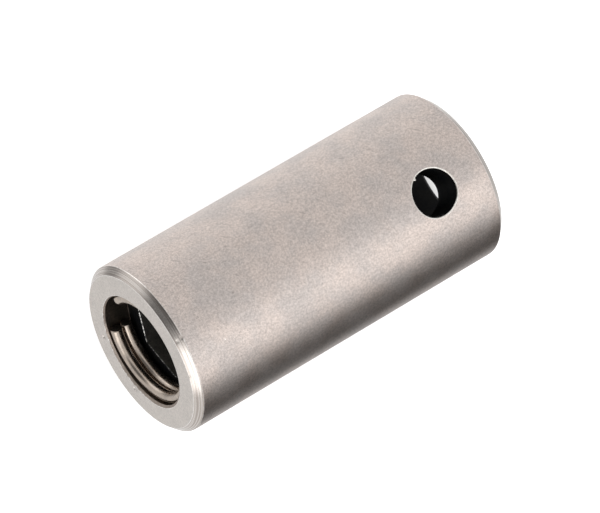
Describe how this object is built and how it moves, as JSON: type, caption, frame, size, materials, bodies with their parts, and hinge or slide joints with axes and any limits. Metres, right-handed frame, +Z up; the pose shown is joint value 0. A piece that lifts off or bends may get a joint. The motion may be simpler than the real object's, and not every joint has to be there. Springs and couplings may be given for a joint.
{
  "type": "sleeve coupling",
  "caption": "Turned steel sleeve coupling: a hex drive socket behind split wire retaining rings at one end, a cross-drilled round shaft bore at the other.",
  "frame": {"origin": "middle of the sleeve's length, on its axis", "axes": "+X along the axis from the ring mouth to the pin end, +Z up through the cross hole, +Y across"},
  "size_m": [0.0318, 0.015, 0.015],
  "materials": {
    "sleeve_steel": "satin turned steel with a warm grey heat-treated skin",
    "ring_wire": "drawn spring wire, bright and slightly straw coloured"
  },
  "bodies": {
    "sleeve": {"sleeve": "sleeve_steel"},
    "retaining_rings": {"front_ring": "ring_wire", "rear_ring": "ring_wire"}
  },
  "joints": [
    {"name": "rings_turn", "type": "hinge", "parent": "sleeve", "child": "retaining_rings", "pos_m": [-0.01448, 0, 0], "axis": [1, 0, 0], "continuous": true}
  ]
}
